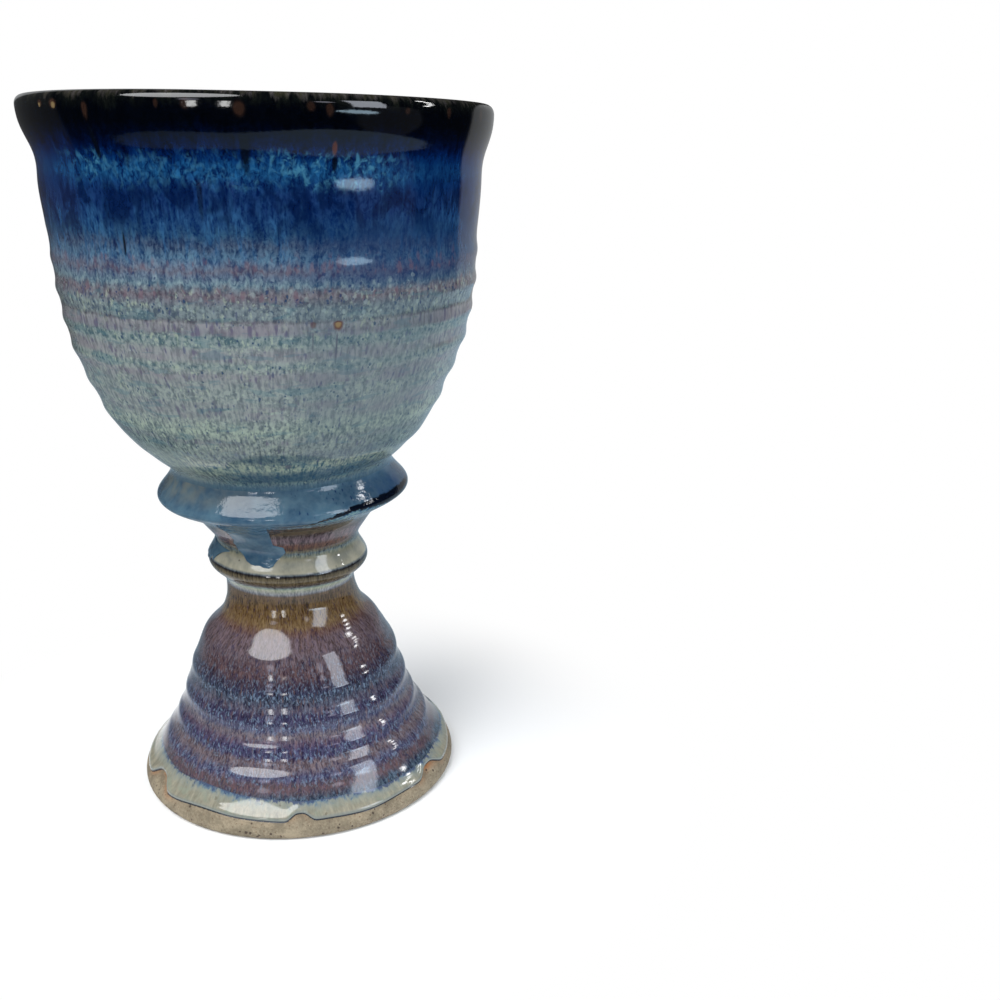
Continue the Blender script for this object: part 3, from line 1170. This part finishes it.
def cream_thickness(angle, distance):
    """The cream coat gathers towards its lower edge, in a bell-shaped bead."""
    fuller, bead_place, bead_reach = 0.45, 1.3 * MM, 1.1 * MM
    off = distance - clay.up_to(glaze_edge(angle))
    return glaze_coat * (1 + fuller * np.exp(-(((off - bead_place) / bead_reach) ** 2)))


def collar_thickness(angle, distance):
    """The collar's coat is thicker than the others, and thins towards the crease."""
    thicker, crease_heights, crease_share = 1.22, np.array([93, 95.6]) * MM, [1, 0.82]
    return glaze_coat * thicker * np.interp(clay.at(distance)[1], crease_heights, crease_share)


def collar_warmth(angle, distance):
    """Warmth of the collar's top where its glaze thins: it grows with the height, times a
    bell curve of the turn from the warmest place on the left, in degrees."""
    warmest, reach = -50, 42
    upper = np.interp(clay.at(distance)[1], np.array([89.5, 92, 95.6]) * MM, [0, 0.75, 1])
    return np.clip(upper * np.exp(-((off_turn(angle, warmest) / reach) ** 2)), 0, 1)


def make_coats():
    """The glaze coats from the foot up to the lip, and the liner from the lip down to the
    middle of the bowl's floor."""
    angle = angles(AROUND)
    foot_start = clay.up_to(glaze_edge(angle))
    mauve_start = clay.up_to(cream_edge(angle))
    collar_start = clay.up_to(collar_edge(angle))
    under_collar = clay.up_to(collar_edge(angle) + 0.5 * MM)
    neck_start, bowl_start = clay.up_to(waist), clay.up_to(stem_top)
    rim_start, rim_end = clay.up_to(rim_line), clay.down_to(rim_line)
    coat(
        "cream_band", 46, foot_start, mauve_start, "foot_cream_glaze", cream_glaze,
        low_edge=0.8 * MM, thick=cream_thickness,
    )
    coat("bell_coat", 150, mauve_start, neck_start, "foot_glaze", bell_glaze)
    coat("ring_coat", 120, neck_start, under_collar, "stem_ring_glaze", stem_glaze)
    coat(
        "collar_coat", 100, collar_start, bowl_start, "collar_glaze", collar_glaze,
        low_edge=0.7 * MM, thick=collar_thickness,
        extras={
            "ink_line": lambda angle, run: clay.at(run)[1] - MM * ink_line(angle),
            "ink": round_the_pot([0, 10, 22, 250, 275, 360], [0, 0.3, 1, 1, 0, 0]),
            "ink_width": round_the_pot(
                [0, 30, 50, 62, 85, 100, 130, 200, 230, 360],
                [0, 0.06, 0.45, 0.9, 1.05, 0.4, 0.1, 0.5, 0.1, 0],
            ),
            "warmth": collar_warmth,
        },
    )
    coat("bowl_coat", 150, bowl_start, rim_start, "bowl_outer_glaze", bowl_glaze)
    coat("rim_coat", 110, rim_start, rim_end, "rim_glaze_cap", rim_glaze)

    angle = angles(360)
    rows, back_rows = 200, 60
    distance = np.linspace(rim_end, clay.run[-1], rows)[None] + 0 * angle
    back = stood_off(angle, distance[:, every_few(rows, back_rows)[::-1]])
    radius, height, run = joined(back, stood_off(angle, distance, glaze_coat))
    radius = np.maximum(radius, 0)
    radius[:, [0, -1]] = 0
    turned(
        "liner_coat", angle, (radius, height, run), "bowl_liner_glaze", liner_glaze,
        poles=True, extras={"relief": hand_relief(angle, run) / MM},
    )


make_bodies()
make_coats()


# ---- Runs of collar glaze on the neck and ring ----


def run_patch(left, right, top, bottom, thickness, across, along):
    """A run of glaze as a low pillow on the coat below it.

    left and right give the edges in degrees at each share of the way down, top and bottom
    the heights in millimetres at each share of the way across. The upper skin rises from
    the outline to its full thickness over a rounded edge, a quarter circle, and thins at
    its upper heights; the lower skin is sunk into the coat."""
    rounding, bed, sunk = 1.0 * MM, 0.05 * MM, 0.25 * MM
    upper_heights, upper_share = np.array([84.4, 86.2]) * MM, [1, 0.2]
    u = (0.5 - 0.5 * np.cos(np.pi * np.linspace(0, 1, across)))[:, None]
    v = (0.5 - 0.5 * np.cos(np.pi * np.linspace(0, 1, along)))[None]
    first, last = (np.interp(v, *edge) for edge in (left, right))
    angle = np.radians(first + u * (last - first))
    start, end = (
        np.interp(u, shares, clay.up_to(np.array(heights) * MM)) for shares, heights in (top, bottom)
    )
    distance = start + v * (end - start)
    radius, height = clay.at(distance)[:2]
    side = np.minimum(u, 1 - u) * np.radians(last - first) * radius
    near = np.minimum(side, np.minimum(v, 1 - v) * np.abs(end - start))
    reach = np.clip(near / rounding, 0, 1)
    lift = thickness * np.sqrt(1 - (1 - reach) ** 2) * (0.8 + 0.2 * v)
    lift = lift * np.interp(height, upper_heights, upper_share)
    skins = [
        by_hand(angle, *stood_off(angle, distance, glaze_coat - bed + rise)[:2]).reshape(-1, 3)
        for rise in (lift, -sunk * reach)
    ]
    i = np.arange(across - 1)[:, None] * along
    j = np.arange(along - 1)[None]
    quads = np.stack([i + j, i + j + 1, i + along + j + 1, i + along + j], -1).reshape(-1, 4)
    faces = np.concatenate([quads, quads[:, ::-1] + across * along])
    return np.concatenate(skins), faces, np.tile(flow_at(angle, distance).reshape(-1, 3), (2, 1))


def make_runs():
    """The wide run down the front of the neck and the fingered patch on the ring."""
    wide = run_patch(
        ([0, 0.25, 0.5, 0.66, 0.74, 0.86, 1], [-31, -30, -28.5, -28, -31, -31, -24]),
        ([0, 0.2, 0.55, 0.7, 0.76, 0.86, 1], [3.0, 1.4, 0.6, 1.0, 8.0, 9.0, 2.0]),
        ([0, 1], [87.2, 87.2]),
        (
            [0, 0.1, 0.22, 0.36, 0.5, 0.64, 0.78, 0.9, 1],
            [72.6, 71.3, 70.8, 70.6, 70.7, 70.3, 70.2, 70.7, 72.2],
        ),
        thickness=0.5 * MM, across=120, along=150,
    )
    patch = run_patch(
        ([0, 1], [-88, -84]),
        ([0, 0.4, 1], [-40, -42, -50]),
        ([0, 0.4, 1], [74.6, 73.8, 73.0]),
        (
            [0, 0.12, 0.24, 0.36, 0.46, 0.56, 0.66, 0.76, 0.88, 1],
            [68.4, 67.6, 68.8, 67.5, 69.2, 67.7, 69.2, 68.4, 70.2, 71.8],
        ),
        thickness=0.4 * MM, across=120, along=60,
    )
    places, flow = (np.concatenate([wide[k], patch[k]]) for k in (0, 2))
    faces = np.concatenate([wide[1], patch[1] + len(wide[0])]).tolist()
    plain = np.zeros(len(places))
    fields = {"flow": flow, "ink_line": plain + 5 * MM, "ink": plain, "ink_width": plain, "warmth": plain}
    make_piece(
        "glaze_runs", places, faces, "collar_glaze_runs", collar_glaze, fields, merge=True
    )


make_runs()


# ---- Floor, light and camera ----

ambient = 0.52  # strength of the even light that fills the shade
room = 0.012  # strength of the dim room in the gloss
floor_gloss = 0.38  # strength of the table top in the gloss
# Pale cards of the backdrop: turn from the front, rise and half width in degrees, strength
backdrop_cards = [
    (155, -3, 23, 0.38), (-158, 18, 17, 0.35), (-128, -4, 34, 0.05), (74, -12, 18, 0.09),
]
ray_kinds = ("Is Camera Ray", "Is Glossy Ray", "Is Transmission Ray")


def make_floor():
    """A plain pale table top, a rounded rectangle whose edge follows |x/a|^3 + |y/b|^3 = 1,
    that fades to white away from the piece."""
    corners, middle, half = 96, (0.015, 0.25), (0.41, 0.60)
    mesh = bpy.data.meshes.new("floor")
    turn = np.linspace(0, TURN, corners, endpoint=False)
    on_circle = (np.cos(turn), np.sin(turn))
    x, y = (m + h * np.sign(c) * np.abs(c) ** (2 / 3) for m, h, c in zip(middle, half, on_circle))
    mesh.from_pydata(np.stack([x, y, 0 * x], 1).tolist(), [], [list(range(corners))])
    material = surface("pale_floor")
    shader = shader_of(material)
    shader.inputs["Base Color"].default_value = (0.9, 0.9, 0.9, 1)
    shader.inputs["Roughness"].default_value = 0.9
    shader.inputs["Specular IOR Level"].default_value = 0.0
    camera_ray, glossy_ray, clear_ray = add("LightPath", output=ray_kinds)
    place = object_place()
    far = add("VectorMath", {0: place}, "Value", operation="LENGTH")
    aside = add("SeparateXYZ", {0: place})
    dimmer = stretch(aside, -0.36, 0.25, 0.6 * floor_gloss, 1.5 * floor_gloss)
    tint = over(glossy_ray, (1, 1, 1, 1), (0.62, 0.83, 1, 1))
    glow = add("Emission", {0: tint, 1: mixed(glossy_ray, 1.0, dimmer)})
    fade = stretch(far, 0.05, 0.125) * highest(camera_ray, highest(glossy_ray, clear_ray))
    top = add("MixShader", {0: fade, 1: Value(shader.outputs[0]), 2: glow})
    feed(material.node_tree.nodes["Material Output"].inputs[0], top)
    mesh.materials.append(material)
    floor = bpy.data.objects.new("floor", mesh)
    bpy.context.scene.collection.objects.link(floor)


def direction(turn, rise):
    """Unit vector at a turn from the front towards +X and a rise, in degrees."""
    turn, rise = deg(turn), deg(rise)
    return (math.sin(turn) * math.cos(rise), -math.cos(turn) * math.cos(rise), math.sin(rise))


def make_world():
    """White to the camera; the gloss sees pale cards of the backdrop behind the piece in a
    dim room, and everything is filled by an even soft light."""
    world = bpy.data.worlds.new("studio")
    bpy.context.scene.world = world
    world.use_nodes = True
    open_trees.append(world.node_tree)
    camera_ray, glossy_ray, clear_ray = add("LightPath", output=ray_kinds)
    aim = add("TexCoord", output="Generated")
    seen, soft_edge = room, 1.5
    for turn, rise, half, strength in backdrop_cards:
        nearness = add("VectorMath", {0: aim, 1: direction(turn, rise)}, "Value", operation="DOT_PRODUCT")
        edge = [math.cos(deg(half + soft_edge)), math.cos(deg(half - soft_edge))]
        seen = stretch(nearness, *edge) * strength + seen
    dim = add("Background", {0: (0.95, 0.98, 1, 1), 1: mixed(glossy_ray, ambient, seen)})
    bright = add("Background", {0: (1, 1, 1, 1), 1: 1.0})
    sky = add("MixShader", {0: highest(camera_ray, clear_ray), 1: dim, 2: bright})
    feed(world.node_tree.nodes["World Output"].inputs[0], sky)


def lamp(
    name, turn, rise, width, height, radiance, colour=(1, 1, 1), shape="RECTANGLE", away=1.3, from_height=0.1
):
    """A soft panel seen from the piece at a turn from the front and a rise, in degrees,
    so many degrees wide and high, of a plain radiance."""
    aim = Vector(direction(turn, rise))
    data = bpy.data.lights.new(name, "AREA")
    data.shape = shape
    data.size = 2 * away * math.tan(deg(width / 2))
    data.size_y = 2 * away * math.tan(deg(height / 2))
    area = data.size * data.size_y * (math.pi / 4 if shape == "ELLIPSE" else 1)
    data.energy = radiance * math.pi * area
    data.color = colour
    piece = bpy.data.objects.new(name, data)
    bpy.context.scene.collection.objects.link(piece)
    turned_to = aim.to_track_quat("Z", "Y").to_matrix().to_4x4()
    piece.matrix_world = Matrix.Translation(Vector((0, 0, from_height)) + aim * away) @ turned_to
    piece.visible_camera = False


def make_camera():
    """Camera in front and a little to the right, looking down on the piece."""
    pitch, roll, stand = deg(20.15), deg(0.874), Vector((0.0618, -0.2955, 0.1788))
    forward = Vector((0, math.cos(pitch), -math.sin(pitch)))
    up = Vector((0, math.sin(pitch), math.cos(pitch)))
    right = Vector((1, 0, 0))
    side = right * math.cos(roll) + up * math.sin(roll)
    top = up * math.cos(roll) - right * math.sin(roll)
    data = bpy.data.cameras.new("camera")
    data.sensor_width = 36
    data.lens = 38.65
    data.shift_x = 0.0009
    data.shift_y = 0.0457
    data.clip_start = 0.01
    camera = bpy.data.objects.new("camera", data)
    bpy.context.scene.collection.objects.link(camera)
    turn = Matrix((side, top, -forward)).transposed().to_4x4()
    camera.matrix_world = Matrix.Translation(stand) @ turn
    bpy.context.scene.camera = camera


make_floor()
make_world()
# Turn and rise, width and height in degrees, radiance, colour, outline, distance, height
lamp("key_panel", -38, 52, 42, 41, 7.5, (0.97, 0.985, 1.0), "ELLIPSE")
lamp("window", 60, 20, 17, 32, 6.5, (0.84, 0.9, 1.0))
lamp("lamp_left", -19, 7, 4.0, 13, 12.0)
lamp("lamp_right", -4.5, 7, 4.0, 13, 12.0)
lamp("low_window", 53, -4.0, 20, 3.4, 7.0, (0.6, 0.83, 1.0), "ELLIPSE", 0.55, 0.173)
lamp("round_left", -21, 21, 9, 8, 3.5, (0.85, 0.85, 1.0), "ELLIPSE")
lamp("round_right", 39, 21, 8, 8, 3.5, (0.85, 0.85, 1.0), "ELLIPSE")
for step in range(5):
    lamp(f"row_lamp_{step}", 94 + 4.5 * step, 17 + 7 * step, 3.5, 3.5, 26.0)
make_camera()
bpy.context.scene.view_settings.view_transform = "Standard"
